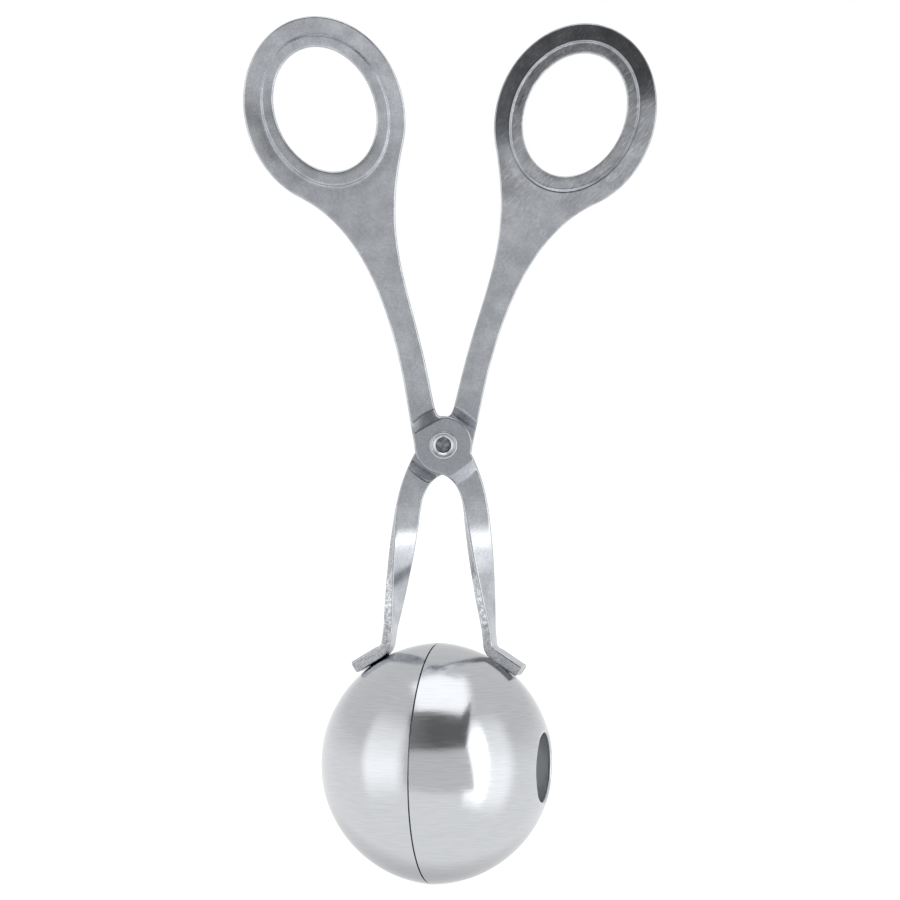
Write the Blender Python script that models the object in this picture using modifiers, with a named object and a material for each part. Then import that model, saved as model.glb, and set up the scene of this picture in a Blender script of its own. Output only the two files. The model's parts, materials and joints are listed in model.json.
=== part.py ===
"""Meatball tongs: two stamped steel levers on one rivet, each carrying half of a hollow ball.

The two levers are one stamping used twice: the rear one is the front one turned half a turn
about the upright axis. Lengths are in metres. +Z runs up the tongs, Y is the pivot's axis, and
the origin is the lowest point of the closed ball.
"""
import math

import bmesh
import bpy
from mathutils import Vector

# Ball: two cups that meet at an upright seam
CUP_RADIUS = 0.0252
CUP_SHORTFALL = 0.0012
CUP_WALL = 0.0007
POLE_HOLE_RADIUS = 0.0072
SEAM_GAP = 0.0003
CUP_TURN = math.radians(13.4)
PIVOT_TO_BALL = 0.0663

# Sheet and strap of a lever
SHEET = 0.0020
STRAP_WIDTH = 0.0052
DISC_RADIUS = 0.0060
DISC_GAP = 0.0003
JOGGLE_CLEARANCE = 0.0004
JOGGLE_RUN = 0.0022
SHANK_JOGGLE_ANGLE = math.radians(125.6)
ARM_JOGGLE_ANGLE = math.radians(-59)

# Shank above the disc: its centreline stands off the pivot and leans outward
SHANK_OFFSET = 0.00295
SHANK_LEAN = math.radians(12.6)
SHANK_START = 0.0090
SHANK_END = 0.0146
CROTCH_ANGLE = math.radians(95)
CROTCH_REACH = 0.0010
SHANK_START_REACH = 0.0018
SHOULDER_ANGLE = math.radians(180)
SHOULDER_ARRIVE = math.radians(-76)
SHOULDER_REACH = 0.0030
SHOULDER_SHANK_REACH = 0.0050

# Finger ring and the web that joins it to the shank
RING_SIDE = 0.0261
RING_HEIGHT = 0.0688
RING_HALF_WIDTH = 0.0165
RING_HALF_LENGTH = 0.0199
RING_TILT = math.radians(19.5)
WEB_INNER_ANGLE = math.radians(-35.5)
WEB_OUTER_ANGLE = math.radians(230.6)
WEB_INNER_RING_REACH = 0.0211
WEB_INNER_SHANK_REACH = 0.0194
WEB_OUTER_RING_REACH = 0.0131
WEB_OUTER_SHANK_REACH = 0.0167

# Finger hole, with a rim that is pressed forward around it
HOLE_HALF_WIDTH = 0.0103
HOLE_HALF_LENGTH = 0.0133
HOLE_TILT = math.radians(22.9)
HOLE_SHIFT_SIDE = 0.0001
HOLE_SHIFT_UP = 0.0004
RIM_WIDTH = 0.0022
RIM_SLOPE = 0.0005
RIM_STEP = 0.0006
RIM_DROP = 0.0003

# Arm below the disc, its twist and its foot
ARM_OFFSET = 0.0054
ARM_SLOPE_SHARE = 0.126
ARM_START = 0.0140
ARM_OUTER_ANGLE = math.radians(-16)
ARM_OUTER_LEAVE = math.radians(-60)
ARM_OUTER_REACH = 0.0045
ARM_OUTER_END_REACH = 0.0035
ARM_INNER_ANGLE = math.radians(-99.6)
ARM_INNER_REACH = 0.0036
ARM_INNER_END_REACH = 0.0042
TWIST_START = 0.0115
TWIST_TO_BEND = 0.0033
BEND_RADIUS = 0.0020
FOOT_SLOPE = math.radians(32)
FOOT_REACH = 0.0049
WELD_GAP = 0.0003

# Rivet: a rolled rim in front, a low head behind
RIVET_RADIUS = 0.0020
RIVET_GAP = 0.0003
ROLL_RADIUS = 0.00288
ROLL_HEIGHT = 0.0009
MOUTH_RADIUS = 0.00173
FLOOR_RADIUS = 0.00137
BORE_DEPTH = 0.0024
HEAD_RADIUS = 0.0033
HEAD_RIM = 0.0003
HEAD_HEIGHT = 0.0011

# Fineness
RING_STEPS = 48
WEB_STEPS = 14
DISC_STEPS = 12
BLEND_STEPS = 6
JOGGLE_STEPS = 4
TWIST_STEPS = 14
BEND_STEPS = 5
CUP_ARC_STEPS = 10
CUP_STEPS = 48
RIVET_STEPS = 32
ROLL_STEPS = 8
MERGE = 0.000001
SHARP_ANGLE = math.radians(30)

# Colour and roughness of each piece's steel
LEVER_STEEL = ((0.40, 0.41, 0.43), 0.35)
CUP_STEEL = ((0.62, 0.63, 0.64), 0.20)
RIVET_STEEL = ((0.55, 0.56, 0.58), 0.25)

# Worked out from the sizes above
TWIST = math.pi / 2 - CUP_TURN
RIM_PLANE_RADIUS = math.sqrt(CUP_RADIUS ** 2 - CUP_SHORTFALL ** 2)
BALL_HEIGHT = RIM_PLANE_RADIUS
PIVOT_HEIGHT = BALL_HEIGHT + PIVOT_TO_BALL
DISC_OFFSET = (SHEET + DISC_GAP) / 2
JOGGLE_START = DISC_RADIUS + JOGGLE_CLEARANCE
RIVET_HOLE_RADIUS = RIVET_RADIUS + RIVET_GAP
STACK_HALF = SHEET + DISC_GAP / 2 + RIVET_GAP


def arc(centre, radius, start, end, steps):
    """Points on a circle, both ends included."""
    angles = [start + (end - start) * i / steps for i in range(steps + 1)]
    return [(centre[0] + radius * math.cos(a), centre[1] + radius * math.sin(a)) for a in angles]


def blend(start, leave, reach_out, end, arrive, reach_in, steps):
    """A smooth edge between two points, with the direction held at each end."""
    a, d = Vector(start), Vector(end)
    b = a + Vector(leave).normalized() * reach_out
    c = d - Vector(arrive).normalized() * reach_in
    points = []
    for i in range(steps + 1):
        t = i / steps
        s = 1 - t
        points.append(tuple(a * s ** 3 + b * 3 * s * s * t + c * 3 * s * t * t + d * t ** 3))
    return points


def oval_point(centre, half_width, half_length, tilt, angle):
    """A point on the finger ring's ovals. Angle 0 faces the other handle, 90 degrees the top."""
    across = half_width * math.cos(angle)
    along = half_length * math.sin(angle)
    return (centre[0] + across * math.cos(tilt) - along * math.sin(tilt),
            centre[1] + across * math.sin(tilt) + along * math.cos(tilt))


def oval(centre, half_width, half_length, tilt):
    """A closed oval."""
    turns = [2 * math.pi * i / RING_STEPS for i in range(RING_STEPS)]
    return [oval_point(centre, half_width, half_length, tilt, angle) for angle in turns]


def ring_point(angle):
    """A point on the outside of the finger ring."""
    centre = (-RING_SIDE, RING_HEIGHT)
    return oval_point(centre, RING_HALF_WIDTH, RING_HALF_LENGTH, RING_TILT, angle)


def ring_direction(angle):
    """The direction in which the ring's outside runs with a growing angle."""
    across = -RING_HALF_WIDTH * math.sin(angle)
    along = RING_HALF_LENGTH * math.cos(angle)
    return (across * math.cos(RING_TILT) - along * math.sin(RING_TILT),
            across * math.sin(RING_TILT) + along * math.cos(RING_TILT))


def rim_oval(grow):
    """The finger hole, or an oval around it that is wider by grow."""
    centre = (HOLE_SHIFT_SIDE - RING_SIDE, RING_HEIGHT + HOLE_SHIFT_UP)
    if grow > 0:
        drop = RIM_DROP
    else:
        drop = 0
    lowered = (centre[0] + drop * math.sin(HOLE_TILT), centre[1] - drop * math.cos(HOLE_TILT))
    return lowered, HOLE_HALF_WIDTH + grow, HOLE_HALF_LENGTH + grow + drop, HOLE_TILT


def shank_edge(height, side):
    """The shank's edge at a height above the pivot. Side is -1 outside and 1 inside."""
    middle = -SHANK_OFFSET - height * math.tan(SHANK_LEAN)
    return (middle + side * STRAP_WIDTH / 2 / math.cos(SHANK_LEAN), height)


def arm_middle(depth):
    """How far the arm's middle lies beside the pivot, at a depth below it."""
    return ARM_OFFSET + ARM_SLOPE_SHARE * depth


def arm_edge(depth, side):
    """The arm's edge at a depth below the pivot. Side is 1 outside and -1 inside."""
    return (arm_middle(depth) + side * STRAP_WIDTH / 2, -depth)


def bend_geometry():
    """Depths where the foot's bend starts and where the flat blank ends, and the bend's angles.

    The foot lies on the cup: its middle plane keeps half the sheet and the weld's gap off it.
    """
    turn, slope = math.cos(CUP_TURN), FOOT_SLOPE
    centre_side = SEAM_GAP / 2 - CUP_SHORTFALL
    plane = CUP_RADIUS + WELD_GAP + SHEET / 2
    drop = (ARM_OFFSET * turn - centre_side) * math.sin(slope)
    drop += PIVOT_TO_BALL * math.cos(slope) - plane
    corner = drop / (math.cos(slope) - ARM_SLOPE_SHARE * turn * math.sin(slope))
    lean = math.atan(ARM_SLOPE_SHARE * turn)
    swing = math.pi / 2 - slope
    tangent = BEND_RADIUS * math.tan((swing - lean) / 2)
    side = arm_middle(corner) * turn - centre_side
    behind_contact = side * math.cos(slope) - (PIVOT_TO_BALL - corner) * math.sin(slope)
    flat = FOOT_REACH - behind_contact - tangent
    start = corner - tangent * math.cos(lean)
    length = BEND_RADIUS * (swing - lean) + flat
    return start, start + length * math.cos(lean), lean, swing


BEND_START, BLANK_END, ARM_LEAN, FOOT_SWING = bend_geometry()
TWIST_END = BEND_START - TWIST_TO_BEND


def blank_outline():
    """The flat blank's edge: disc, shank, ring and back, then the arm down to its foot."""
    up = (-math.sin(SHANK_LEAN), math.cos(SHANK_LEAN))
    down = (math.sin(SHANK_LEAN), -math.cos(SHANK_LEAN))
    arm_down = (ARM_SLOPE_SHARE, -1)
    arm_up = (-ARM_SLOPE_SHARE, 1)
    outer_leave = (math.cos(ARM_OUTER_LEAVE), math.sin(ARM_OUTER_LEAVE))
    shoulder = (math.cos(SHOULDER_ARRIVE), math.sin(SHOULDER_ARRIVE))
    disc = (0, 0)
    points = arc(disc, DISC_RADIUS, ARM_OUTER_ANGLE, CROTCH_ANGLE, DISC_STEPS)
    crotch_along = (-math.sin(CROTCH_ANGLE), math.cos(CROTCH_ANGLE))
    points += blend(points[-1], crotch_along, CROTCH_REACH,
                    shank_edge(SHANK_START, 1), up, SHANK_START_REACH, BLEND_STEPS)[1:]
    points += blend(shank_edge(SHANK_END, 1), up, WEB_INNER_SHANK_REACH,
                    ring_point(WEB_INNER_ANGLE), ring_direction(WEB_INNER_ANGLE),
                    WEB_INNER_RING_REACH, WEB_STEPS)
    sweep = WEB_OUTER_ANGLE - WEB_INNER_ANGLE
    steps = round(RING_STEPS * sweep / (2 * math.pi))
    points += [ring_point(WEB_INNER_ANGLE + sweep * i / steps) for i in range(1, steps)]
    points += blend(ring_point(WEB_OUTER_ANGLE), ring_direction(WEB_OUTER_ANGLE),
                    WEB_OUTER_RING_REACH, shank_edge(SHANK_END, -1), down,
                    WEB_OUTER_SHANK_REACH, WEB_STEPS)
    lower_disc = arc(disc, DISC_RADIUS, SHOULDER_ANGLE, 2 * math.pi + ARM_INNER_ANGLE, DISC_STEPS)
    points += blend(points[-1], down, SHOULDER_SHANK_REACH,
                    lower_disc[0], shoulder, SHOULDER_REACH, BLEND_STEPS)[1:]
    points += lower_disc[1:]
    inner_along = (-math.sin(ARM_INNER_ANGLE), math.cos(ARM_INNER_ANGLE))
    points += blend(points[-1], inner_along, ARM_INNER_REACH,
                    arm_edge(ARM_START, -1), arm_down, ARM_INNER_END_REACH, BLEND_STEPS)[1:]
    points += [arm_edge(BLANK_END, -1), arm_edge(BLANK_END, 1)]
    back = blend(points[0], outer_leave, ARM_OUTER_REACH,
                 arm_edge(ARM_START, 1), arm_down, ARM_OUTER_END_REACH, BLEND_STEPS)
    points += back[:0:-1]
    return points


def filled(loops):
    """A flat mesh that fills the first loop and leaves the others open, from a 2D curve."""
    curve = bpy.data.curves.new("blank", "CURVE")
    curve.dimensions = "2D"
    curve.fill_mode = "BOTH"
    for loop in loops:
        spline = curve.splines.new("POLY")
        spline.points.add(len(loop) - 1)
        for point, place in zip(spline.points, loop):
            point.co = (place[0], place[1], 0, 1)
        spline.use_cyclic_u = True
    guide = bpy.data.objects.new("blank", curve)
    bpy.context.scene.collection.objects.link(guide)
    graph = bpy.context.evaluated_depsgraph_get()
    mesh = bpy.data.meshes.new_from_object(guide.evaluated_get(graph))
    bpy.data.objects.remove(guide)
    return mesh


def joggle_ways():
    """The two ways out from the pivot along which a strap steps from the disc's plane."""
    angles = (SHANK_JOGGLE_ANGLE, ARM_JOGGLE_ANGLE)
    return [Vector((math.cos(angle), math.sin(angle))) for angle in angles]


def cut_across(bm, place, along):
    """Adds edges across the blank, square to a direction, so that it can bend there."""
    parts = bm.verts[:] + bm.edges[:] + bm.faces[:]
    bmesh.ops.bisect_plane(bm, geom=parts, dist=MERGE, plane_co=(place[0], place[1], 0),
                           plane_no=(along[0], along[1], 0))


def flat_blank():
    """The flat blank as a solid, with edges wherever it is bent later."""
    slope_oval = oval(*rim_oval(RIM_WIDTH + RIM_SLOPE))
    lip_oval = oval(*rim_oval(RIM_WIDTH))
    hole = oval(*rim_oval(0))
    rivet_hole = arc((0, 0), RIVET_HOLE_RADIUS, 0, 2 * math.pi, RIVET_STEPS)[:-1]
    bm = bmesh.new()
    for loops in ([blank_outline(), slope_oval, rivet_hole], [slope_oval, lip_oval],
                  [lip_oval, hole]):
        bm.from_mesh(filled(loops))
    bmesh.ops.remove_doubles(bm, verts=bm.verts, dist=MERGE)
    for along in joggle_ways():
        for i in range(JOGGLE_STEPS + 1):
            cut_across(bm, along * (JOGGLE_START + JOGGLE_RUN * i / JOGGLE_STEPS), along)
    bend_end = BEND_START + BEND_RADIUS * (FOOT_SWING - ARM_LEAN) * math.cos(ARM_LEAN)
    depths = [TWIST_START + (TWIST_END - TWIST_START) * i / TWIST_STEPS
              for i in range(TWIST_STEPS + 1)]
    depths += [BEND_START + (bend_end - BEND_START) * i / BEND_STEPS
               for i in range(BEND_STEPS + 1)]
    for depth in depths:
        cut_across(bm, (0, -depth), (0, 1))
    bmesh.ops.recalc_face_normals(bm, faces=bm.faces)
    mesh = bpy.data.meshes.new("blank")
    bm.to_mesh(mesh)
    bm.free()
    blank = bpy.data.objects.new("blank", mesh)
    bpy.context.scene.collection.objects.link(blank)
    wall = blank.modifiers.new("sheet", "SOLIDIFY")
    wall.thickness = SHEET
    wall.offset = 0
    graph = bpy.context.evaluated_depsgraph_get()
    solid = bpy.data.meshes.new_from_object(blank.evaluated_get(graph))
    bpy.data.objects.remove(blank)
    return solid


def rim_shift(place):
    """How far a point is pressed forward, for the rim around the finger hole."""
    centre, half_width, half_length, tilt = rim_oval(RIM_WIDTH)
    side, up = place[0] - centre[0], place[1] - centre[1]
    across = (side * math.cos(tilt) + up * math.sin(tilt)) / half_width
    along = (up * math.cos(tilt) - side * math.sin(tilt)) / half_length
    half_slope_share = RIM_SLOPE / 2 / half_length
    if math.hypot(across, along) < 1 + half_slope_share:
        return RIM_STEP
    return 0


def joggle_shift(place):
    """How far a point lies in front of the handles' plane: the disc fully, the strap not."""
    out = max(way.dot(place) for way in joggle_ways())
    share = min(max((out - JOGGLE_START) / JOGGLE_RUN, 0), 1)
    eased = share * share * (3 - 2 * share)
    return DISC_OFFSET * (1 - eased)


def pressed(side, height, front):
    """Where pressing, twisting and bending take a point of the flat blank.

    Front is how far the point lies in front of the sheet's middle.
    """
    place = Vector((side, height))
    depth = -height
    if depth <= TWIST_START:
        return Vector((side, -front - rim_shift(place) - joggle_shift(place), height))
    share = min((depth - TWIST_START) / (TWIST_END - TWIST_START), 1)
    turn = TWIST * share
    across = Vector((math.cos(turn), math.sin(turn), 0))
    outward = Vector((math.sin(turn), -math.cos(turn), 0))
    up = Vector((0, 0, 1))
    offset = side - arm_middle(depth)
    if depth <= BEND_START:
        middle = Vector((arm_middle(depth), 0, height))
        return middle + across * offset + outward * front
    run = (depth - BEND_START) / math.cos(ARM_LEAN)
    bend_run = BEND_RADIUS * (FOOT_SWING - ARM_LEAN)
    bend_share = min(run / bend_run, 1)
    swing = ARM_LEAN + (FOOT_SWING - ARM_LEAN) * bend_share
    face = FOOT_SWING * bend_share
    middle = Vector((arm_middle(BEND_START), 0, -BEND_START))
    middle += outward * BEND_RADIUS * (math.cos(ARM_LEAN) - math.cos(swing))
    middle += up * BEND_RADIUS * (math.sin(ARM_LEAN) - math.sin(swing))
    beyond = max(run - bend_run, 0)
    middle += (outward * math.sin(swing) - up * math.cos(swing)) * beyond
    normal = outward * math.cos(face) + up * math.sin(face)
    return middle + across * offset + normal * front


def lever_mesh():
    """One lever, pressed from its flat blank, about its pivot."""
    mesh = flat_blank()
    for vertex in mesh.vertices:
        vertex.co = pressed(vertex.co.x, vertex.co.y, vertex.co.z)
    bm = bmesh.new()
    bm.from_mesh(mesh)
    bmesh.ops.triangulate(bm, faces=bm.faces)
    bmesh.ops.recalc_face_normals(bm, faces=bm.faces)
    bm.to_mesh(mesh)
    bm.free()
    mesh.shade_smooth()
    mesh.set_sharp_from_angle(angle=SHARP_ANGLE)
    return mesh


def turned(name, profile, steps, closed):
    """A turned piece about its own Z axis, from a profile at +X."""
    mesh = bpy.data.meshes.new(name)
    count = len(profile)
    edges = [(i, i + 1) for i in range(count - 1)]
    if closed:
        edges.append((count - 1, 0))
    mesh.from_pydata([(radius, 0, height) for radius, height in profile], edges, [])
    piece = bpy.data.objects.new(name, mesh)
    screw = piece.modifiers.new("turn", "SCREW")
    screw.steps = steps
    screw.render_steps = steps
    screw.use_merge_vertices = True
    screw.merge_threshold = MERGE
    screw.use_smooth_shade = True
    return piece


def cup(name):
    """Half of the ball: a round cap with a hole at its pole, its rim near the seam."""
    centre = SEAM_GAP / 2 - CUP_SHORTFALL
    inner = CUP_RADIUS - CUP_WALL
    rim_outer = math.acos(CUP_SHORTFALL / CUP_RADIUS)
    rim_inner = math.acos(CUP_SHORTFALL / inner)
    hole_outer = math.asin(POLE_HOLE_RADIUS / CUP_RADIUS)
    hole_inner = math.asin(POLE_HOLE_RADIUS / inner)
    outside = arc((0, centre), CUP_RADIUS, math.pi / 2 - hole_outer,
                  math.pi / 2 - rim_outer, CUP_ARC_STEPS)
    inside = arc((0, centre), inner, math.pi / 2 - rim_inner,
                 math.pi / 2 - hole_inner, CUP_ARC_STEPS)
    return turned(name, outside + inside, CUP_STEPS, True)


def rivet(name):
    """The rivet, from the floor of its bore over the rolled rim down to the head behind."""
    roll_middle = (ROLL_RADIUS + MOUTH_RADIUS) / 2
    roll_width = (ROLL_RADIUS - MOUTH_RADIUS) / 2
    roll_base = STACK_HALF + ROLL_HEIGHT - roll_width
    profile = [(0, roll_base - BORE_DEPTH), (FLOOR_RADIUS, roll_base - BORE_DEPTH)]
    profile += arc((roll_middle, roll_base), roll_width, math.pi, 0, ROLL_STEPS)
    profile += [(ROLL_RADIUS, STACK_HALF), (RIVET_RADIUS, STACK_HALF),
                (RIVET_RADIUS, -STACK_HALF), (HEAD_RADIUS, -STACK_HALF)]
    for i in range(ROLL_STEPS + 1):
        angle = math.pi / 2 * i / ROLL_STEPS
        dome = (HEAD_HEIGHT - HEAD_RIM) * math.sin(angle)
        profile.append((HEAD_RADIUS * math.cos(angle), -STACK_HALF - HEAD_RIM - dome))
    profile[-1] = (0, -STACK_HALF - HEAD_HEIGHT)
    return turned(name, profile, RIVET_STEPS, False)


def steel(name, look):
    """Stainless steel with one colour and roughness."""
    colour, roughness = look
    material = bpy.data.materials.new(name)
    material.use_nodes = True
    shader = material.node_tree.nodes["Principled BSDF"]
    shader.inputs["Base Color"].default_value = (*colour, 1)
    shader.inputs["Metallic"].default_value = 1
    shader.inputs["Roughness"].default_value = roughness
    return material


def add(piece, collection, material):
    """Puts a piece in the tongs' collection and gives it its material."""
    collection.objects.link(piece)
    piece.data.materials.append(material)
    return piece


def clear_scene():
    """Removes whatever the scene holds."""
    for thing in list(bpy.data.objects):
        bpy.data.objects.remove(thing)


def build():
    """All pieces, in place, the tongs closed."""
    clear_scene()
    tongs = bpy.data.collections.new("meatball_tongs")
    bpy.context.scene.collection.children.link(tongs)
    stamping = lever_mesh()

    front = bpy.data.objects.new("front_lever", stamping)
    front.location.z = PIVOT_HEIGHT
    add(front, tongs, steel("front_lever_satin_steel", LEVER_STEEL))

    right = add(cup("right_cup"), tongs, steel("right_cup_polished_steel", CUP_STEEL))
    right.location.z = BALL_HEIGHT
    right.rotation_euler = (0, math.pi / 2, -CUP_TURN)

    pin = add(rivet("pivot_rivet"), tongs, steel("pivot_rivet_steel", RIVET_STEEL))
    pin.location.z = PIVOT_HEIGHT
    pin.rotation_euler = (math.pi / 2, 0, 0)

    hinge = bpy.data.objects.new("opening_hinge", None)
    tongs.objects.link(hinge)
    hinge.location.z = PIVOT_HEIGHT

    rear_stamping = stamping.copy()
    rear_stamping.materials.clear()
    rear = bpy.data.objects.new("rear_lever", rear_stamping)
    rear.parent = hinge
    rear.rotation_euler = (0, 0, math.pi)
    add(rear, tongs, steel("rear_lever_satin_steel", LEVER_STEEL))

    left = add(cup("left_cup"), tongs, steel("left_cup_polished_steel", CUP_STEEL))
    left.parent = hinge
    left.location.z = -PIVOT_TO_BALL
    left.rotation_euler = (0, math.pi / 2, math.pi - CUP_TURN)


build()
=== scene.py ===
"""Looks of the meatball tongs: two satin stamped levers, a polished ball in two cups and a rivet.

The frame gives where the pivot and the ball lie. Lengths are in metres, and +Z runs up the tongs.
"""
import json
import math

import bpy
from mathutils import Matrix, Vector

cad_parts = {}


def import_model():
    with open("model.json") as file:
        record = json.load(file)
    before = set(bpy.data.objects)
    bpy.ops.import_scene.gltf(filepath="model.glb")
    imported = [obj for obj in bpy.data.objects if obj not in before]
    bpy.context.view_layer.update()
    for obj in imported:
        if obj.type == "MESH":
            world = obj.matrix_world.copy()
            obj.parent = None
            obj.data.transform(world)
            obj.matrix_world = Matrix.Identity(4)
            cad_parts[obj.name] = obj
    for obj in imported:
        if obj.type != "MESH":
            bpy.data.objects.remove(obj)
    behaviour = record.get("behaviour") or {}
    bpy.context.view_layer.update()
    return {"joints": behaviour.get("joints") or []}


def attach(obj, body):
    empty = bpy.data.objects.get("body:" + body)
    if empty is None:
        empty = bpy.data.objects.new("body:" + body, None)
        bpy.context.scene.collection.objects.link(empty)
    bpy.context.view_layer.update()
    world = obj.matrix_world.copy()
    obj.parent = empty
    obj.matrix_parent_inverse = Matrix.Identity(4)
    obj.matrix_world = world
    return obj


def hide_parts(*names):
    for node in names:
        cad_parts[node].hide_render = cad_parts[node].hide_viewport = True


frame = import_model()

MM = 0.001

# Ball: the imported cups, a hair smaller so that they stay inside them
CUP_RADIUS = 25.15 * MM
CUP_SHORTFALL = 1.2 * MM
CUP_WALL = 0.7 * MM
POLE_HOLE_RADIUS = 7.2 * MM
SEAM_GAP = 0.3 * MM
CUP_TURN = math.radians(13.4)
CUP_RIM_ROUND = 0.18 * MM
HOLE_DRAW_DEPTH = 0.55 * MM
HOLE_DRAW_WIDTH = 1.1 * MM

# The pole hole's ragged edge: how far it strays, how far out that fades, and the waves in it, each
# with how often it goes around, where it starts and its share
HOLE_RAGGEDNESS = 0.1 * MM
HOLE_FADE = 2.0 * MM
HOLE_WAVES = ((3, 2, 1), (7, 0, 1), (17, 1, 0.5))
HOLE_WAVE_SUM = sum(wave[2] for wave in HOLE_WAVES)

# Sheet and strap of a lever. An edge is rounded this far across the face and this deep: wide and
# shallow where the punch went in, in front, and small behind
SHEET = 2.0 * MM
FRONT_EDGE = (0.46 * MM, 0.36 * MM)
BACK_EDGE = (0.34 * MM, 0.34 * MM)
STRAP_WIDTH = 5.2 * MM
DISC_RADIUS = 6.0 * MM
DISC_OFFSET = 1.15 * MM

# Joggles, on the face with the disc in front and on the one behind: the way out from the pivot,
# where the pressed slope starts along that way, and how far from the pivot it ends
SHANK_JOGGLE_FRONT = (math.radians(119), 4.9 * MM, 7.85 * MM)
SHANK_JOGGLE_BACK = (math.radians(125.6), 6.2 * MM, 8.6 * MM)
ARM_JOGGLE_FRONT = (math.radians(-52), 5.9 * MM, 8.75 * MM)
ARM_JOGGLE_BACK = (math.radians(-59), 6.2 * MM, 8.6 * MM)
JOGGLE_SOFTNESS = 0.06
JOGGLE_SPAN = (4.5 * MM, 9.3 * MM)
JOGGLE_SIDE = 6.0 * MM
JOGGLE_REACH = 10.5 * MM

# Shank above the disc
SHANK_OFFSET = 2.95 * MM
SHANK_LEAN = math.radians(12.6)
SHANK_START = 9.0 * MM
SHANK_END = 14.6 * MM
CROTCH_ANGLE = math.radians(95)
CROTCH_REACH = 1.0 * MM
SHANK_START_REACH = 1.8 * MM
SHOULDER_ANGLE = math.radians(180)
SHOULDER_ARRIVE = math.radians(-76)
SHOULDER_REACH = 3.0 * MM
SHOULDER_SHANK_REACH = 5.0 * MM

# Finger ring and the web that joins it to the shank
RING_SIDE = 26.1 * MM
RING_HEIGHT = 68.8 * MM
RING_HALF_WIDTH = 16.48 * MM
RING_HALF_LENGTH = 19.88 * MM
RING_TILT = math.radians(19.5)
WEB_INNER_ANGLE = math.radians(-35.5)
WEB_OUTER_ANGLE = math.radians(230.6)
WEB_INNER_RING_REACH = 21.1 * MM
WEB_INNER_SHANK_REACH = 19.4 * MM
WEB_OUTER_RING_REACH = 13.1 * MM
WEB_OUTER_SHANK_REACH = 16.7 * MM

# Finger hole, the rim pressed forward around it, and the band outside the rim, which is dished
HOLE_HALF_WIDTH = 10.3 * MM
HOLE_HALF_LENGTH = 13.3 * MM
HOLE_TILT = math.radians(22.9)
HOLE_SHIFT_SIDE = 0.1 * MM
HOLE_SHIFT_UP = 0.4 * MM
RIM_WIDTH = 2.2 * MM
RIM_SLOPE = 0.5 * MM
RIM_STEP = 0.6 * MM
RIM_DROP = 0.3 * MM
BAND_WIDTH = 4.7 * MM
BAND_LEAN = 0.36 * MM
BAND_SOFTNESS = 0.1

# The ring's upper part bends a little forward of the handle, from this height above the pivot in
# the ring's middle. The bend's line is skewed, so that it lies lower on the ring's inner side.
RING_LEAN = math.radians(7)
RING_LEAN_START = 65.0 * MM
RING_LEAN_SOFT = 12.0 * MM
RING_LEAN_SKEW = 0.34

# Arm below the disc, its twist and its foot
ARM_OFFSET = 5.4 * MM
ARM_SLOPE_SHARE = 0.126
ARM_START = 14.0 * MM
ARM_OUTER_ANGLE = math.radians(-16)
ARM_OUTER_LEAVE = math.radians(-60)
ARM_OUTER_REACH = 4.5 * MM
ARM_OUTER_END_REACH = 3.5 * MM
ARM_INNER_ANGLE = math.radians(-99.6)
ARM_INNER_REACH = 3.6 * MM
ARM_INNER_END_REACH = 4.2 * MM
TWIST_START = 11.5 * MM
TWIST_TO_BEND = 3.3 * MM
BEND_RADIUS = 3.0 * MM
FOOT_SLOPE = math.radians(32)
FOOT_REACH = 4.9 * MM
FOOT_THICKENING = 0.5
WELD_GAP = -0.12 * MM

# Rivet
RIVET_RADIUS = 2.0 * MM
RIVET_HOLE_RADIUS = 2.3 * MM
STACK_HALF = 2.45 * MM
ROLL_RADIUS = 2.88 * MM
ROLL_HEIGHT = 0.9 * MM
ROLL_OUTER_HALF = 0.3 * MM
ROLL_FLATNESS = 0.4
MOUTH_RADIUS = 1.62 * MM
FLARE_SLOPE = math.radians(38)
FLARE_END = 2.08 * MM
FLARE_ROUND = 0.14 * MM
FLARE_DROP = 0.04 * MM
FLOOR_RADIUS = 1.5 * MM
FLOOR_ROUND = 0.22 * MM
BORE_DEPTH = 1.7 * MM
BORE_SHARE = 0.99
HEAD_RADIUS = 3.3 * MM
HEAD_RIM = 0.3 * MM
HEAD_HEIGHT = 1.1 * MM

# Fineness of the meshes
RING_STEPS = 144
WEB_STEPS = 40
DISC_STEPS = 48
BLEND_STEPS = 20
RIM_ROW_SHARES = (0, 0.45, 0.65, 0.8, 0.9)
SLOPE_ROWS = 8
BAND_ROWS = 5
EDGE_STEPS = 6
JOGGLE_STEPS = 20
JOGGLE_SIDE_STEPS = 24
TWIST_STEPS = 44
BEND_STEPS = 14
RIVET_HOLE_STEPS = 64
CUP_SEGMENTS = 256
CUP_RINGS = 128
CUP_RIM_STEPS = 3
CUP_RIM_ANGLE = math.radians(60)
CUP_SHARP_ANGLE = math.radians(50)
HOLE_DRAW_STEPS = 7
RIVET_SPIN_STEPS = 96
ROLL_STEPS = 20
MERGE = 0.001 * MM
ROW_MATCH_SHARE = 0.0001
SHARP_ANGLE = math.radians(35)

# Places of the finishes on a lever, and how little a cut edge's face looks forwards
FRONT, CUT_EDGE, BACK, BACK_RIM = range(4)
EDGE_FACING = 0.2

# Places worked out from the frame and from the sizes above
PIVOT = Vector(frame["joints"][0]["pos_m"])
PIVOT_TO_BALL = 66.3 * MM
BALL = PIVOT - Vector((0, 0, PIVOT_TO_BALL))
TWIST = math.pi / 2 - CUP_TURN
CUP_CENTRE_SIDE = SEAM_GAP / 2 - CUP_SHORTFALL

# Camera and light
PHOTO_WIDTH = 187.2 * MM
LENS_MM = 200
SENSOR_MM = 36
CAMERA_RISE = math.radians(0.7)
CAMERA_ROLL = math.radians(1.14)
AIM = Vector((1.4 * MM, 0, 90.45 * MM))
WHITE = (1, 1, 1, 1)


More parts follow.
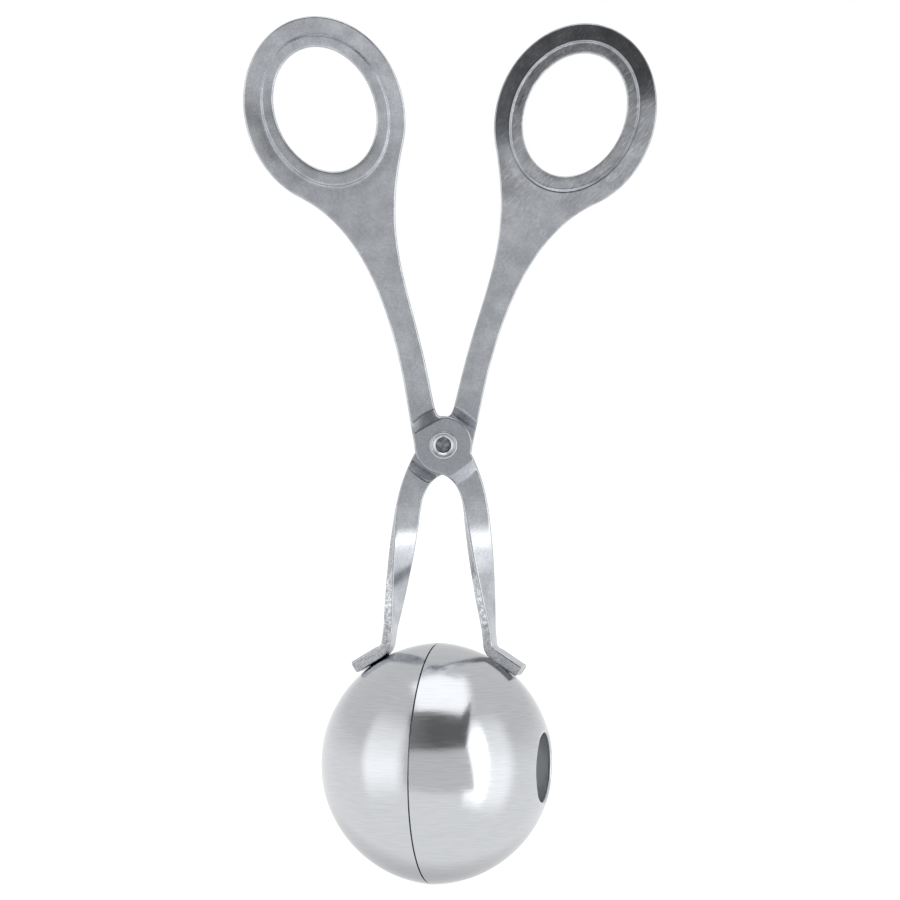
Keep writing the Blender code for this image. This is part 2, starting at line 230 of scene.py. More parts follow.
def camera():
    """A long lens, level with the tongs, turned a little about its own axis as in the photo."""
    distance = PHOTO_WIDTH * LENS_MM / SENSOR_MM
    away = Vector((0, -math.cos(CAMERA_RISE), math.sin(CAMERA_RISE)))
    data = bpy.data.cameras.new("camera")
    data.lens = LENS_MM
    data.sensor_width = SENSOR_MM
    eye = bpy.data.objects.new("camera", data)
    bpy.context.scene.collection.objects.link(eye)
    facing = (-away).to_track_quat("-Z", "Y").to_matrix()
    roll = Matrix.Rotation(CAMERA_ROLL, 3, "Z")
    eye.matrix_world = Matrix.Translation(AIM + away * distance) @ (facing @ roll).to_4x4()
    bpy.context.scene.camera = eye


def sky_direction(azimuth, elevation):
    """The direction of a card or a lamp: azimuth 0 is the camera's side, 90 the tongs' right."""
    a, e = math.radians(azimuth), math.radians(elevation)
    return Vector((math.sin(a) * math.cos(e), -math.cos(a) * math.cos(e), math.sin(e)))


# Studio: softboxes and cards stand around the ball, which mirrors them. Places are in degrees,
# sizes in metres; a softbox fades over its soft margin, a card is cut to its four corners.
SOFTBOX_DISTANCE = 1.0
CARD_DISTANCE = 0.66
SOFTBOXES = (
    # name, azimuth, elevation, width, height, soft margins across and up, brightness
    ("top_softbox", 16, 74, 1.07, 1.00, (0.20, 0.20), 0.8),
    ("right_softbox", 43, 4, 0.50, 1.86, (0.08, 0.60), 1.0),
    ("right_glow", 61, 2, 1.10, 1.95, (0.35, 0.60), 0.42),
    ("left_glow", -60, 8, 0.94, 1.70, (0.22, 0.70), 0.46),
)
CARDS = (
    # name, azimuth, elevation, corners (right, up), grey on the left and from the middle on
    ("camera_side_card", 0, 0, ((-0.73, -0.38), (0.92, -0.49), (0.66, 0.45), (-0.72, 0.30)),
     0.73, 0.73),
    ("dark_card", 0, 32, ((-0.59, -0.42), (0.62, -0.19), (0.66, 0.36), (-0.59, 0.44)),
     0.22, 0.14),
    ("dark_card_corner", 0, 32, ((0.42, 0.28), (0.64, 0.20), (0.76, 0.95), (0.60, 0.60)),
     0.14, 0.14),
)
WORLD_LOW = 1.0
WORLD_HIGH = 0.75
WORLD_LOW_RISE = 0.0
WORLD_HIGH_RISE = 20.0
WORLD_DIM_WAY = (-0.05, 0.75, -0.66)
WORLD_DIM_FROM = 0.80
WORLD_DIM_TO = 0.99
WORLD_DIM_SHARE = 0.66


def studio_plane(name, azimuth, elevation, distance, corners_at):
    """A plane around the ball, facing it, which only the metal and the floor see."""
    deselect()
    bpy.ops.mesh.primitive_plane_add(size=1)
    plane = bpy.context.object
    plane.name = name
    order = sorted(plane.data.vertices, key=lambda v: math.atan2(v.co.y, v.co.x))
    for vertex, (right, up) in zip(order, corners_at):
        vertex.co = (right * distance, up * distance, 0)
    way = sky_direction(azimuth, elevation)
    turn = (-way).to_track_quat("-Z", "Y").to_matrix().to_4x4()
    plane.matrix_world = Matrix.Translation(BALL + way * distance) @ turn
    plane.visible_camera = False
    plane.visible_shadow = False
    return plane


def softbox(name, azimuth, elevation, width, height, margins, brightness):
    """A softbox: brightest in the middle, fading towards its edges, and clear where it is dark."""
    x, y = width / 2, height / 2
    plane = studio_plane(name, azimuth, elevation, SOFTBOX_DISTANCE,
                         ((-x, -y), (x, -y), (x, y), (-x, y)))
    paint = Material(name)
    split = paint.node("SeparateXYZ", {"Vector": paint.place()})
    shares = []
    for axis, half, margin in (("X", x, margins[0]), ("Y", y, margins[1])):
        off = paint.node("Math", {0: split.outputs[axis]}, operation="ABSOLUTE")
        fade = paint.node("MapRange", {"Value": off, "From Min": half, "From Max": half - margin},
                          interpolation_type="SMOOTHSTEP")
        shares.append(fade)
    share = paint.node("Math", {0: shares[0], 1: shares[1]}, operation="MULTIPLY")
    power = paint.node("Math", {0: share, 1: brightness}, operation="MULTIPLY")
    glow = paint.node("Emission", {"Color": WHITE, "Strength": power})
    clear = paint.node("BsdfTransparent")
    both = paint.node("AddShader", {0: glow, 1: clear})
    plane.data.materials.append(paint.shown(both))


def card(name, azimuth, elevation, corners_at, left_grey, grey_beyond):
    """A card beside or above the lens, whose grey runs from its left to its middle."""
    plane = studio_plane(name, azimuth, elevation, CARD_DISTANCE, corners_at)
    plane.visible_diffuse = False
    left = min(corner[0] for corner in corners_at) * CARD_DISTANCE / 2
    paint = Material(name)
    split = paint.node("SeparateXYZ", {"Vector": paint.place()})
    grey = paint.node("MapRange", {"Value": split.outputs["X"], "From Min": left,
                                   "From Max": 0, "To Min": left_grey,
                                   "To Max": grey_beyond})
    glow = paint.node("Emission", {"Color": WHITE, "Strength": grey})
    plane.data.materials.append(paint.shown(glow))


def deselect():
    """Nothing selected, so that an operator acts on the new piece alone."""
    if bpy.context.object and bpy.context.object.mode != "OBJECT":
        bpy.ops.object.mode_set(mode="OBJECT")
    bpy.ops.object.select_all(action="DESELECT")


def select(piece):
    """Makes one piece the selected and active one."""
    deselect()
    piece.select_set(True)
    bpy.context.view_layer.objects.active = piece


def linear(hex_colour):
    """An sRGB hex colour as the linear colour that a shader takes."""
    parts = [int(hex_colour[i:i + 2], 16) / 255 for i in (1, 3, 5)]
    return tuple(c / 12.92 if c <= 0.04045 else ((c + 0.055) / 1.055) ** 2.4 for c in parts) + (1,)


def add_node(tree, kind, inputs=None, **settings):
    """Adds a node, sets its settings, and fills its inputs with values, nodes or sockets."""
    made = tree.nodes.new("ShaderNode" + kind)
    for name, value in settings.items():
        setattr(made, name, value)
    for name, value in (inputs or {}).items():
        if isinstance(value, bpy.types.Node):
            value = value.outputs[0]
        if isinstance(value, bpy.types.NodeSocket):
            tree.links.new(value, made.inputs[name])
        else:
            made.inputs[name].default_value = value
    return made


class Material:
    """A node material that is built up by adding nodes with their settings and links."""

    def __init__(self, name):
        self.material = bpy.data.materials.new(name)
        self.material.use_nodes = True
        self.tree = self.material.node_tree
        self.tree.nodes.clear()

    def node(self, kind, inputs=None, **settings):
        """Adds a node to this material."""
        return add_node(self.tree, kind, inputs, **settings)

    def place(self):
        """Where a point lies, in its piece's own axes."""
        return self.node("TexCoord").outputs["Object"]

    def shown(self, shader):
        """Gives the material this shader as its surface."""
        self.node("OutputMaterial", {"Surface": shader})
        return self.material

    def metal(self, colour, rough, height, strength, distance, more=None):
        """Gives the material a bare metal surface with a bump, and more inputs if asked."""
        bump = self.node("Bump", {"Height": height, "Strength": strength, "Distance": distance})
        return self.shown(self.node("BsdfPrincipled", {
            "Base Color": colour, "Metallic": 1, "Roughness": rough, "Normal": bump,
            **(more or {})}))


def world():
    """White behind; for the metal the room is a little greyer above, and behind at the bottom."""
    room = bpy.data.worlds.new("studio")
    room.use_nodes = True
    tree = room.node_tree
    tree.nodes.clear()
    way = add_node(tree, "TexCoord").outputs["Generated"]
    height = add_node(tree, "SeparateXYZ", {"Vector": way}).outputs["Z"]
    rise = add_node(tree, "MapRange", {
        "Value": height, "From Min": math.sin(math.radians(WORLD_LOW_RISE)),
        "From Max": math.sin(math.radians(WORLD_HIGH_RISE)), "To Min": WORLD_LOW,
        "To Max": WORLD_HIGH})
    near = add_node(tree, "VectorMath", {0: way, 1: Vector(WORLD_DIM_WAY).normalized()},
                    operation="DOT_PRODUCT")
    dim = add_node(tree, "MapRange", {
        "Value": near.outputs["Value"], "From Min": WORLD_DIM_FROM, "From Max": WORLD_DIM_TO,
        "To Min": 1, "To Max": WORLD_DIM_SHARE})
    both = add_node(tree, "Math", {0: rise, 1: dim}, operation="MULTIPLY")
    path = add_node(tree, "LightPath")
    pick = add_node(tree, "Mix", {"Factor": path.outputs["Is Camera Ray"], "A": both, "B": 1})
    back = add_node(tree, "Background", {"Color": WHITE, "Strength": pick})
    add_node(tree, "OutputWorld", {"Surface": back})
    bpy.context.scene.world = room


# Floor: the camera sees this share of its shade, and the rest as an even glow
FLOOR_SIZE = 12.0
FLOOR_WHITE = "#FBFBFA"
FLOOR_SHADE_SHARE = 0.35
FLOOR_GLOW = 1.3


def floor():
    """A pale floor under the ball. It shows as white and keeps part of the soft shadow."""
    deselect()
    bpy.ops.mesh.primitive_plane_add(size=FLOOR_SIZE)
    plane = bpy.context.object
    plane.name = "floor"
    plane.visible_glossy = False
    plane.visible_shadow = False
    paint = Material("white_paper_floor")
    lit = paint.node("BsdfDiffuse", {"Color": linear(FLOOR_WHITE)})
    glow = paint.node("Emission", {"Color": WHITE, "Strength": FLOOR_GLOW})
    path = paint.node("LightPath")
    share = paint.node("Math", {0: path.outputs["Is Camera Ray"], 1: 1 - FLOOR_SHADE_SHARE},
                       operation="MULTIPLY")
    mixed = paint.node("MixShader", {0: share, 1: lit, 2: glow})
    plane.data.materials.append(paint.shown(mixed))


# Widths in the steel's finish, estimated. A stretch is how many times as long as wide lines are,
# and the lean is the scratches' angle.
SATIN_GRAIN = 0.3 * MM
SPECKLE_WIDTH = 0.4 * MM
SMUDGE_WIDTH = 4.0 * MM
CLOUD_WIDTH = 6.0 * MM
SCRATCH_WIDTH = 0.14 * MM
SCRATCH_STRETCH = 14
SCRATCH_LEAN = math.radians(-50)
SHEAR_GRAIN = 0.4 * MM
TEAR_WIDTH = 0.8 * MM
POLISH_LINE = 0.16 * MM
POLISH_STRETCH = 24
PEEL_WIDTH = 0.5 * MM
SPINNING_LINE = 0.5 * MM
ROLL_GRAIN = 0.5 * MM
BORE_CLOUD_WIDTH = 0.8 * MM

# Heights between which the back's scratches and the painted shade at the ring's top set in, how
# far from the pivot the painted shade around it is full and gone, and the height and reach of the
# cracks in the arm's edge
SCRATCHED_BETWEEN = (126 * MM, 142 * MM)
PAINTED_SHADE_BETWEEN = (150 * MM, 166 * MM)
PIVOT_SHADE_REACH = (4.0 * MM, 16.0 * MM)
CRACKLE_HEIGHT = 58.0 * MM
CRACKLE_REACH = 9.0 * MM

# Die side of the sheet, and of the rim around the finger hole: the level of the noise above which
# scratches are bare, how bare they are, how deep, the ring's gain in gloss, and how much of its
# tone is left under the painted shade at its top
BACK_SCRATCHES = (0.57, 0.8, 0.02 * MM, 0.11, 0.7)
RIM_SCRATCHES = (0.5, 0.9, 0.05 * MM, -0.03, 0.9)


def stamped_tone(paint, place, smudge, tones, pivot_shade_tone, pivot_shade_share):
    """The colour of stamped sheet: smudged between two tones, darkened around the pivot as painted
    shade, and finely specked."""
    smudged = paint.node("MapRange", {"Value": smudge, "From Min": 0.35, "From Max": 0.65})
    tone = paint.node("Mix", {"Factor": smudged, "A": linear(tones[0]), "B": linear(tones[1])},
                      data_type="RGBA")
    # Painted shade: the tone darkens towards the pivot, over the disc and the joggles' slopes.
    reach = paint.node("VectorMath", {0: place, 1: PIVOT}, operation="DISTANCE")
    pivot_shade = paint.node("MapRange", {"Value": reach.outputs["Value"], "From Min": PIVOT_SHADE_REACH[1],
                                     "From Max": PIVOT_SHADE_REACH[0], "To Max": pivot_shade_share},
                        interpolation_type="SMOOTHSTEP")
    shade = paint.node("Mix", {"Factor": pivot_shade, "A": tone.outputs[2], "B": linear(pivot_shade_tone)},
                       data_type="RGBA")
    specks = paint.node("TexNoise", {"Vector": place, "Scale": 1 / SPECKLE_WIDTH, "Detail": 4,
                                     "Roughness": 0.7})
    specked = paint.node("MapRange", {"Value": specks, "From Min": 0.3, "From Max": 0.7,
                                      "To Min": 0.84, "To Max": 1.1})
    return paint.node("Mix", {"Factor": 1, "A": shade.outputs[2], "B": specked},
                      data_type="RGBA", blend_type="MULTIPLY").outputs[2]


def satin_stamped_steel():
    """Stainless sheet, rolled, stamped and tumbled: a grey satin that blurs what it mirrors, with
    a very fine grain, specks and soft smudges some millimetres wide."""
    paint = Material("satin_stamped_stainless_steel")
    place = paint.place()
    grain = paint.node("TexNoise", {"Vector": place, "Scale": 1 / SATIN_GRAIN, "Detail": 3})
    smudge = paint.node("TexNoise", {"Vector": place, "Scale": 1 / SMUDGE_WIDTH, "Detail": 5,
                                     "Roughness": 0.6})
    steel = stamped_tone(paint, place, smudge, ("#B4B7BD", "#CED1D6"), "#A2A5AB", 0.8)
    rough = paint.node("MapRange", {"Value": smudge, "From Min": 0.3, "From Max": 0.7,
                                    "To Min": 0.19, "To Max": 0.29})
    return paint.metal(steel, rough, grain, 0.8, 0.008 * MM)


def die_scratched_steel(name, bared_from, bared_share, scratch_depth, gloss_gain, ring_top_shade):
    """The side of the sheet that lay on the die: the same satin, glossier at the ring and painted
    darker towards the ring's top as shade, with short fine scratches that all run one way where
    the steel slid as it was pressed.
    around the finger hole is scored more and is duller."""
    paint = Material(name)
    place = paint.place()
    along = paint.node("Mapping", {"Vector": place, "Rotation": (0, SCRATCH_LEAN, 0),
                                   "Scale": (SCRATCH_STRETCH, 1, 1)}, vector_type="TEXTURE")
    hair = paint.node("TexNoise", {"Vector": along, "Scale": 1 / SCRATCH_WIDTH, "Detail": 3})
    smudge = paint.node("TexNoise", {"Vector": place, "Scale": 1 / SMUDGE_WIDTH, "Detail": 4})
    height = paint.node("SeparateXYZ", {"Vector": place}).outputs["Z"]
    near_ring = paint.node("MapRange", {"Value": height, "From Min": SCRATCHED_BETWEEN[0],
                                        "From Max": SCRATCHED_BETWEEN[1], "To Min": 0.1})
    steel = stamped_tone(paint, place, smudge, ("#B2B5BB", "#CBCED3"), "#9A9DA3", 0.9)
    # Painted shade: the tone darkens towards the ring's top, where it mirrors the dark card.
    darker = paint.node("MapRange", {"Value": height, "From Min": PAINTED_SHADE_BETWEEN[0],
                                     "From Max": PAINTED_SHADE_BETWEEN[1], "To Min": 1,
                                     "To Max": ring_top_shade})
    toned = paint.node("Mix", {"Factor": 1, "A": steel, "B": darker}, data_type="RGBA",
                       blend_type="MULTIPLY")
    raised = paint.node("MapRange", {"Value": hair, "From Min": bared_from, "From Max": 0.7,
                                     "To Max": bared_share})
    bared = paint.node("Math", {0: raised, 1: near_ring}, operation="MULTIPLY")
    scored = paint.node("Mix", {"Factor": bared, "A": toned.outputs[2], "B": linear("#DFE1E4")},
                        data_type="RGBA")
    satin = paint.node("MapRange", {"Value": smudge, "From Min": 0.3, "From Max": 0.7,
                                    "To Min": 0.19, "To Max": 0.25})
    gloss = paint.node("Math", {0: near_ring, 1: gloss_gain}, operation="MULTIPLY")
    rough = paint.node("Math", {0: satin, 1: gloss}, operation="SUBTRACT")
    scratched = paint.node("Math", {0: hair, 1: near_ring}, operation="MULTIPLY")
    return paint.metal(scored.outputs[2], rough, scratched, 1.0, scratch_depth)


def sheared_steel():
    """The sheet's cut edge: torn by the punch, so it is grainy, and cracked into bright and dark
    flecks where the arm was twisted most."""
    paint = Material("sheared_stainless_edge")
    place = paint.place()
    grain = paint.node("TexNoise", {"Vector": place, "Scale": 1 / SHEAR_GRAIN, "Detail": 3})
    tear = paint.node("TexNoise", {"Vector": place, "Scale": 1 / TEAR_WIDTH, "Detail": 4,
                                   "Roughness": 0.65})
    height = paint.node("SeparateXYZ", {"Vector": place}).outputs["Z"]
    above = paint.node("Math", {0: height, 1: CRACKLE_HEIGHT}, operation="SUBTRACT")
    off = paint.node("Math", {0: above}, operation="ABSOLUTE")
    cracked = paint.node("MapRange", {"Value": off, "From Min": CRACKLE_REACH,
                                      "From Max": CRACKLE_REACH / 3, "To Min": 0.12})
    torn = paint.node("Math", {0: tear, 1: cracked}, operation="MULTIPLY")
    fine = paint.node("Math", {0: grain, 1: 0.1}, operation="MULTIPLY")
    both = paint.node("Math", {0: torn, 1: fine}, operation="ADD")
    mottled = paint.node("MapRange", {"Value": grain, "From Min": 0.35, "From Max": 0.65})
    tone = paint.node("Mix", {"Factor": mottled, "A": linear("#A4A7AC"), "B": linear("#C8CACD")},
                      data_type="RGBA")
    flake = paint.node("MapRange", {"Value": tear, "From Min": 0.5, "From Max": 0.6,
                                    "To Max": 0.8})
    bared = paint.node("Math", {0: flake, 1: cracked}, operation="MULTIPLY")
    bright = paint.node("Mix", {"Factor": bared, "A": tone.outputs[2], "B": linear("#F0F1F3")},
                        data_type="RGBA")
    pit = paint.node("MapRange", {"Value": tear, "From Min": 0.46, "From Max": 0.38,
                                  "To Max": 0.6})
    shaded = paint.node("Math", {0: pit, 1: cracked}, operation="MULTIPLY")
    flecked = paint.node("Mix", {"Factor": shaded, "A": bright.outputs[2],
                                 "B": linear("#8A8D92")}, data_type="RGBA")
    rough = paint.node("MapRange", {"Value": grain, "From Min": 0.3, "From Max": 0.7,
                                    "To Min": 0.28, "To Max": 0.42})
    return paint.metal(flecked.outputs[2], rough, both, 0.9, 0.08 * MM)


def level_polished_steel():
    """Spun stainless cup, polished along level lines: it mirrors the studio, blurred up and down
    but crisp sideways, and its skin is faintly uneven, which frays what it mirrors. The lines
    are drawn a few times coarser than real ones, so that they show at all."""
    paint = Material("level_polished_stainless_steel")
    place = paint.place()
    level = paint.node("Mapping", {"Vector": place, "Scale": (POLISH_STRETCH, POLISH_STRETCH, 1)},
                       vector_type="TEXTURE")
    lines = paint.node("TexNoise", {"Vector": level, "Scale": 1 / POLISH_LINE, "Detail": 3})
    peel = paint.node("TexNoise", {"Vector": place, "Scale": 1 / PEEL_WIDTH, "Detail": 2})
    streaked = paint.node("MapRange", {"Value": lines, "From Min": 0.35, "From Max": 0.65})
    tone = paint.node("Mix", {"Factor": streaked, "A": linear("#C9CBCF"), "B": linear("#D1D3D6")},
                      data_type="RGBA")
    rough = paint.node("MapRange", {"Value": lines, "From Min": 0.35, "From Max": 0.65,
                                    "To Min": 0.12, "To Max": 0.17})
    faint = paint.node("Math", {0: lines, 1: 0.3}, operation="MULTIPLY")
    both = paint.node("Math", {0: peel, 1: faint}, operation="ADD")
    around = paint.node("Tangent", direction_type="RADIAL", axis="Z")
    return paint.metal(tone.outputs[2], rough, both, 1.0, 0.006 * MM, {
        "Anisotropic": 0.6, "Anisotropic Rotation": 0.25, "Tangent": around})


def raw_spun_steel():
    """The hollow side of a cup, left as it was spun: duller, with fine rings about the pole."""
    paint = Material("raw_spun_stainless_steel")
    place = paint.place()
    cloud = paint.node("TexNoise", {"Vector": place, "Scale": 1 / CLOUD_WIDTH, "Detail": 4})
    turned = paint.node("Mapping", {"Vector": place, "Rotation": (0, 0, -CUP_TURN),
                                    "Scale": (1, POLISH_STRETCH, POLISH_STRETCH)},
                        vector_type="TEXTURE")
    rings = paint.node("TexNoise", {"Vector": turned, "Scale": 1 / SPINNING_LINE, "Detail": 3})
    tone = paint.node("Mix", {"Factor": cloud, "A": linear("#DCDFE2"), "B": linear("#E8EAEC")},
                      data_type="RGBA")
    rough = paint.node("MapRange", {"Value": rings, "From Min": 0.3, "From Max": 0.7,
                                    "To Min": 0.34, "To Max": 0.46})
    return paint.metal(tone.outputs[2], rough, rings, 0.5, 0.01 * MM)


# Finishes of the rivet: name, the clouds' width and detail, the part of them over which the tone
# runs, both tones, the roughness at either end, and the bump's strength and distance
RIVET_FINISHES = (
    # The rivet, rolled over under pressure, which leaves it bright and slightly uneven
    ("bright_rolled_stainless_steel", ROLL_GRAIN, 3, (0, 1), ("#B6B8BC", "#D6D8DB"),
     (0.14, 0.26), 0.5, 0.012 * MM),
    # Its blind bore: the end of the punch's mark, dull, and painted darker as the shade inside the
    # hollow
    ("painted_shade_bore_steel", BORE_CLOUD_WIDTH, 4, (0.4, 0.6), ("#6C6F75", "#9EA1A6"),
     (0.45, 0.3), 0.6, 0.08 * MM),
)


def rivet_steel(name, width, detail, spread, tones, roughness, strength, distance):
    """A finish of the rivet, with the same clouds in its tone, its roughness and its bump."""
    paint = Material(name)
    cloud = paint.node("TexNoise", {"Vector": paint.place(), "Scale": 1 / width,
                                    "Detail": detail})
    share = paint.node("MapRange", {"Value": cloud, "From Min": spread[0], "From Max": spread[1]})
    tone = paint.node("Mix", {"Factor": share, "A": linear(tones[0]), "B": linear(tones[1])},
                      data_type="RGBA")
    rough = paint.node("MapRange", {"Value": cloud, "From Min": 0.3, "From Max": 0.7,
                                    "To Min": roughness[0], "To Max": roughness[1]})
    return paint.metal(tone.outputs[2], rough, cloud, strength, distance)


def arc(centre, radius, start, end, steps):
    """Points on a circle, both ends included."""
    angles = [start + (end - start) * i / steps for i in range(steps + 1)]
    return [(centre[0] + radius * math.cos(a), centre[1] + radius * math.sin(a)) for a in angles]


def blend(start, leave, reach_out, end, arrive, reach_in, steps):
    """A smooth edge between two points, with the direction held at each end."""
    a, d = Vector(start), Vector(end)
    b = a + Vector(leave).normalized() * reach_out
    c = d - Vector(arrive).normalized() * reach_in
    points = []
    for i in range(steps + 1):
        t = i / steps
        s = 1 - t
        points.append(tuple(a * s ** 3 + b * 3 * s * s * t + c * 3 * s * t * t + d * t ** 3))
    return points


def oval_point(centre, half_width, half_length, tilt, angle):
    """A point on the finger ring's ovals. Angle 0 faces the other handle, 90 degrees the top."""
    across = half_width * math.cos(angle)
    along = half_length * math.sin(angle)
    return (centre[0] + across * math.cos(tilt) - along * math.sin(tilt),
            centre[1] + across * math.sin(tilt) + along * math.cos(tilt))


def ring_point(angle):
    """A point on the outside of the finger ring."""
    centre = (-RING_SIDE, RING_HEIGHT)
    return oval_point(centre, RING_HALF_WIDTH, RING_HALF_LENGTH, RING_TILT, angle)


def ring_direction(angle):
    """The direction in which the ring's outside runs with a growing angle."""
    across = -RING_HALF_WIDTH * math.sin(angle)
    along = RING_HALF_LENGTH * math.cos(angle)
    return (across * math.cos(RING_TILT) - along * math.sin(RING_TILT),
            across * math.sin(RING_TILT) + along * math.cos(RING_TILT))


def rim_frame(grow):
    """Middle and half sizes of the finger hole, or of an oval around it that is wider by grow."""
    drop = min(grow / RIM_WIDTH, 1) * RIM_DROP
    middle = (HOLE_SHIFT_SIDE - RING_SIDE + drop * math.sin(HOLE_TILT),
              RING_HEIGHT + HOLE_SHIFT_UP - drop * math.cos(HOLE_TILT))
    return middle, HOLE_HALF_WIDTH + grow, HOLE_HALF_LENGTH + grow + drop


def rim_oval(grow):
    """The finger hole's edge, or an oval around it."""
    middle, half_width, half_length = rim_frame(grow)
    turns = [2 * math.pi * i / RING_STEPS for i in range(RING_STEPS)]
    return [oval_point(middle, half_width, half_length, HOLE_TILT, turn) for turn in turns]


def shank_edge(height, side):
    """The shank's edge at a height above the pivot. Side is -1 outside and 1 inside."""
    middle = -SHANK_OFFSET - height * math.tan(SHANK_LEAN)
    return (middle + side * STRAP_WIDTH / 2 / math.cos(SHANK_LEAN), height)


def arm_middle(depth):
    """How far the arm's middle lies beside the pivot, at a depth below it."""
    return ARM_OFFSET + ARM_SLOPE_SHARE * depth


def arm_edge(depth, side):
    """The arm's edge at a depth below the pivot. Side is 1 outside and -1 inside."""
    return (arm_middle(depth) + side * STRAP_WIDTH / 2, -depth)


def bend_geometry():
    """Depths where the foot's bend starts and where the flat blank ends, and the bend's angles."""
    turn, slope = math.cos(CUP_TURN), FOOT_SLOPE
    plane = CUP_RADIUS + WELD_GAP + SHEET / 2
    drop = (ARM_OFFSET * turn - CUP_CENTRE_SIDE) * math.sin(slope)
    drop += PIVOT_TO_BALL * math.cos(slope) - plane
    corner = drop / (math.cos(slope) - ARM_SLOPE_SHARE * turn * math.sin(slope))
    lean = math.atan(ARM_SLOPE_SHARE * turn)
    swing = math.pi / 2 - slope
    tangent = BEND_RADIUS * math.tan((swing - lean) / 2)
    side = arm_middle(corner) * turn - CUP_CENTRE_SIDE
    behind_contact = side * math.cos(slope) - (PIVOT_TO_BALL - corner) * math.sin(slope)
    flat = FOOT_REACH - behind_contact - tangent
    start = corner - tangent * math.cos(lean)
    length = BEND_RADIUS * (swing - lean) + flat
    return start, start + length * math.cos(lean), lean, swing


BEND_START, BLANK_END, ARM_LEAN, FOOT_SWING = bend_geometry()
TWIST_END = BEND_START - TWIST_TO_BEND


def blank_outline():
    """The flat blank's edge: disc, shank, ring and back, then the arm down to its foot."""
    up = (-math.sin(SHANK_LEAN), math.cos(SHANK_LEAN))
    down = (math.sin(SHANK_LEAN), -math.cos(SHANK_LEAN))
    arm_down = (ARM_SLOPE_SHARE, -1)
    outer_leave = (math.cos(ARM_OUTER_LEAVE), math.sin(ARM_OUTER_LEAVE))
    shoulder = (math.cos(SHOULDER_ARRIVE), math.sin(SHOULDER_ARRIVE))
    disc = (0, 0)
    points = arc(disc, DISC_RADIUS, ARM_OUTER_ANGLE, CROTCH_ANGLE, DISC_STEPS)
    crotch_along = (-math.sin(CROTCH_ANGLE), math.cos(CROTCH_ANGLE))
    points += blend(points[-1], crotch_along, CROTCH_REACH,
                    shank_edge(SHANK_START, 1), up, SHANK_START_REACH, BLEND_STEPS)[1:]
    points += blend(shank_edge(SHANK_END, 1), up, WEB_INNER_SHANK_REACH,
                    ring_point(WEB_INNER_ANGLE), ring_direction(WEB_INNER_ANGLE),
                    WEB_INNER_RING_REACH, WEB_STEPS)
    sweep = WEB_OUTER_ANGLE - WEB_INNER_ANGLE
    steps = round(RING_STEPS * sweep / (2 * math.pi))
    points += [ring_point(WEB_INNER_ANGLE + sweep * i / steps) for i in range(1, steps)]
    points += blend(ring_point(WEB_OUTER_ANGLE), ring_direction(WEB_OUTER_ANGLE),
                    WEB_OUTER_RING_REACH, shank_edge(SHANK_END, -1), down,
                    WEB_OUTER_SHANK_REACH, WEB_STEPS)
    lower_disc = arc(disc, DISC_RADIUS, SHOULDER_ANGLE, 2 * math.pi + ARM_INNER_ANGLE, DISC_STEPS)
    points += blend(points[-1], down, SHOULDER_SHANK_REACH,
                    lower_disc[0], shoulder, SHOULDER_REACH, BLEND_STEPS)[1:]
    points += lower_disc[1:]
    inner_along = (-math.sin(ARM_INNER_ANGLE), math.cos(ARM_INNER_ANGLE))
    points += blend(points[-1], inner_along, ARM_INNER_REACH,
                    arm_edge(ARM_START, -1), arm_down, ARM_INNER_END_REACH, BLEND_STEPS)[1:]
    points += [arm_edge(BLANK_END, -1), arm_edge(BLANK_END, 1)]
    back = blend(points[0], outer_leave, ARM_OUTER_REACH,
                 arm_edge(ARM_START, 1), arm_down, ARM_OUTER_END_REACH, BLEND_STEPS)
    return points + back[:0:-1]


def loop_of(points, name):
    """A closed loop of edges: a circle whose corners are moved to the places given."""
    deselect()
    bpy.ops.mesh.primitive_circle_add(vertices=len(points), fill_type="NOTHING")
    loop = bpy.context.object
    loop.name = name
    for vertex, place in zip(loop.data.vertices, points):
        vertex.co = (place[0], place[1], 0)
    return loop


def joined(pieces):
    """Joins pieces into the first."""
    deselect()
    for piece in pieces:
        piece.select_set(True)
    bpy.context.view_layer.objects.active = pieces[0]
    bpy.ops.object.join()
    return pieces[0]


def select_where(piece, mode, test):
    """In edit mode, selects just the edges or faces that pass a test."""
    bpy.ops.object.mode_set(mode="EDIT")
    bpy.ops.mesh.select_mode(type=mode)
    bpy.ops.mesh.select_all(action="DESELECT")
    bpy.ops.object.mode_set(mode="OBJECT")
    parts = {"EDGE": piece.data.edges, "FACE": piece.data.polygons}
    for part in parts[mode]:
        part.select = test(part)
    bpy.ops.object.mode_set(mode="EDIT")


def rim_share(place, grow):
    """How far out a place lies against one of the hole's ovals, 1 on it, and its turn there."""
    middle, half_width, half_length = rim_frame(grow)
    side, up = place[0] - middle[0], place[1] - middle[1]
    across = (side * math.cos(HOLE_TILT) + up * math.sin(HOLE_TILT)) / half_width
    along = (up * math.cos(HOLE_TILT) - side * math.sin(HOLE_TILT)) / half_length
    return math.hypot(across, along), math.atan2(along, across)


def rim_rows():
    """How far outside the finger hole each row of the pressed ring lies, outermost first."""
    flat = [RIM_WIDTH * share for share in RIM_ROW_SHARES]
    slope = [RIM_WIDTH + RIM_SLOPE * i / SLOPE_ROWS for i in range(SLOPE_ROWS + 1)]
    start = RIM_WIDTH + RIM_SLOPE
    band = [start + (BAND_WIDTH - start) * i / BAND_ROWS for i in range(1, BAND_ROWS + 1)]
    return (flat + slope + band)[::-1]


